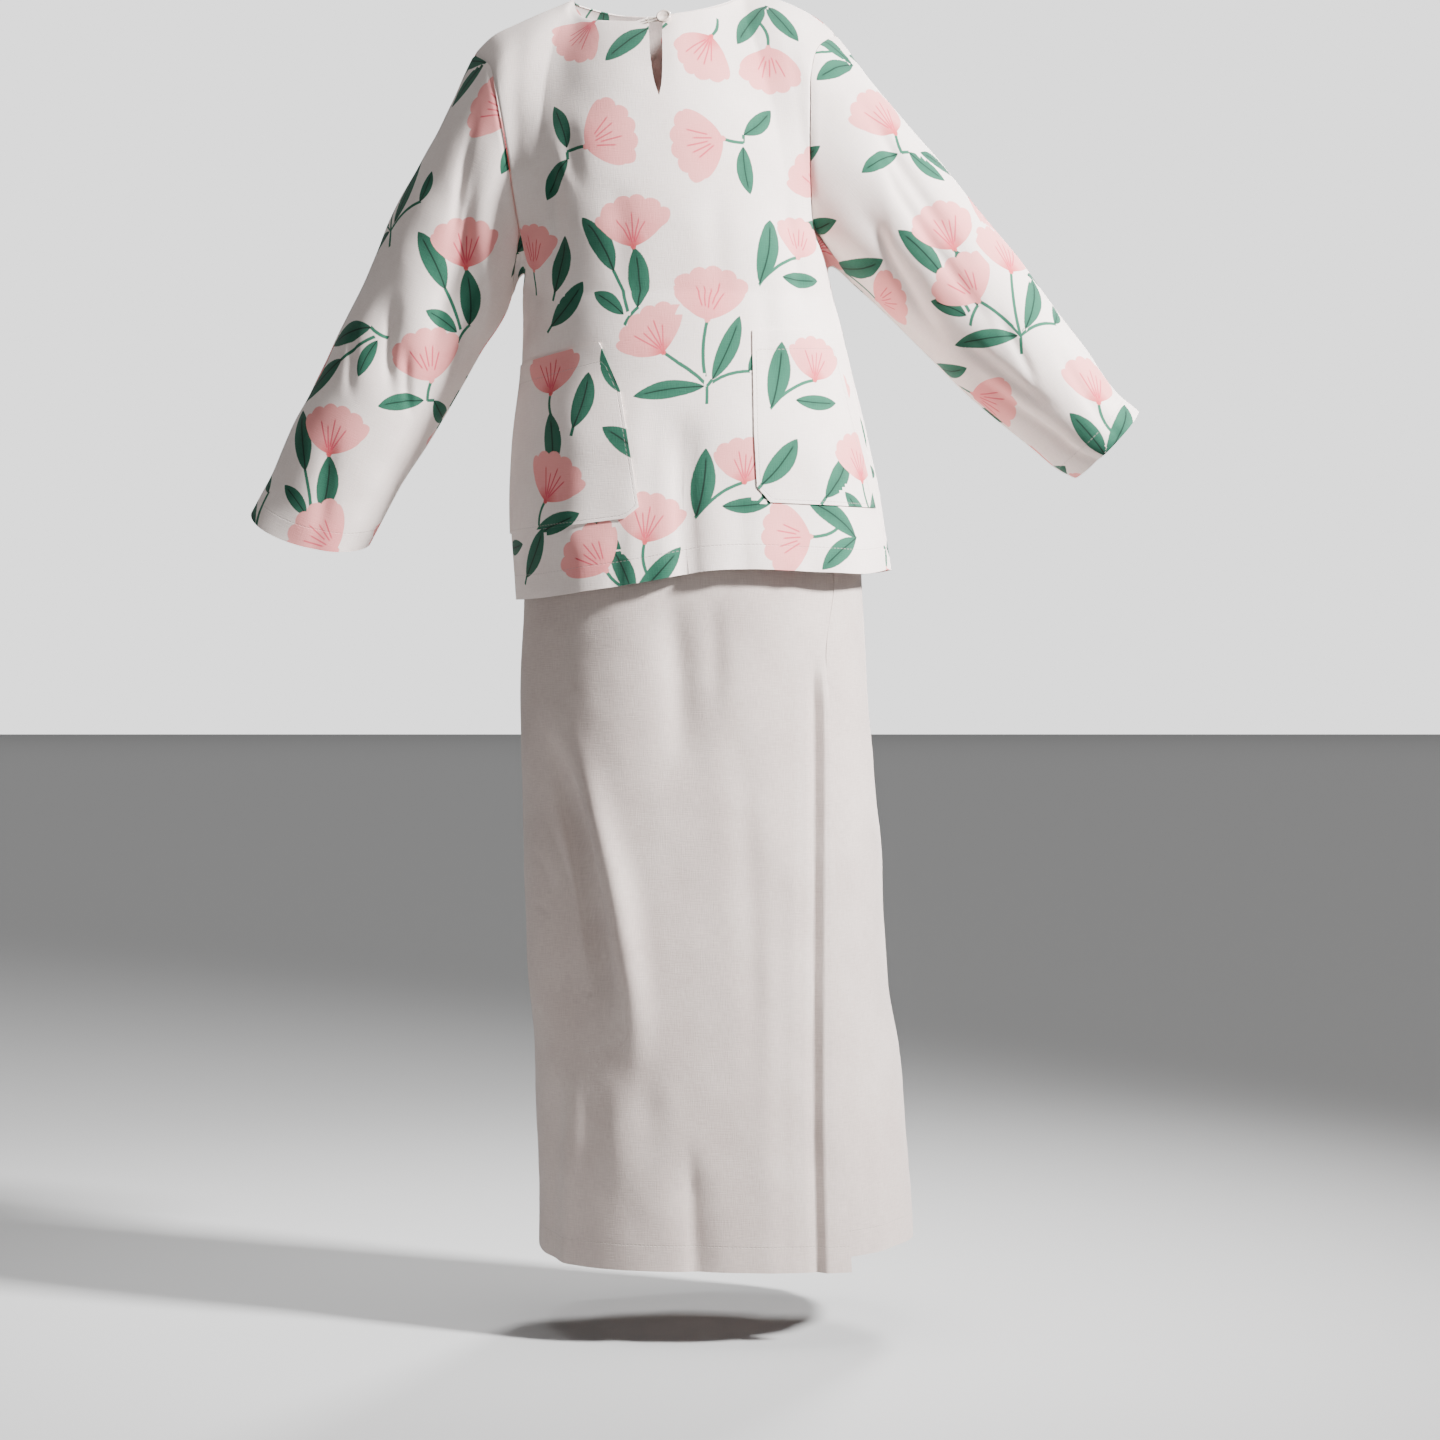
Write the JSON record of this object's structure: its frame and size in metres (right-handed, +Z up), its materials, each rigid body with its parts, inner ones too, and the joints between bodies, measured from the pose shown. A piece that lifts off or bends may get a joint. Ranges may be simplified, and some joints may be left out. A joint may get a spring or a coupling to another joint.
{
  "type": "baju kurung outfit",
  "caption": "Child's baju kurung outfit in its worn shape: a straight long-sleeved top with a slit neck and patch pockets, over a long skirt with a side pleat.",
  "frame": {"origin": "middle of the neck opening at the shoulder line, where the wearer's shoulders hold the top up", "axes": "+Z up, -Y out of the front, +X towards the wearer's left"},
  "size_m": [0.7078, 0.2582, 1.0044],
  "materials": {
    "printed_cloth": "matte plain weave with a floral print",
    "plain_cloth": "matte plain weave",
    "pearl": "pearl sheen",
    "thread": "matte"
  },
  "bodies": {
    "root": {"top_front": "printed_cloth", "top_back": "printed_cloth", "sleeve_right": "printed_cloth", "sleeve_left": "printed_cloth", "gusset_right": "printed_cloth", "gusset_left": "printed_cloth", "pocket_right": "printed_cloth", "pocket_left": "printed_cloth", "button": "pearl", "button_loop": "thread", "skirt_front": "plain_cloth", "skirt_back": "plain_cloth"}
  },
  "joints": []
}
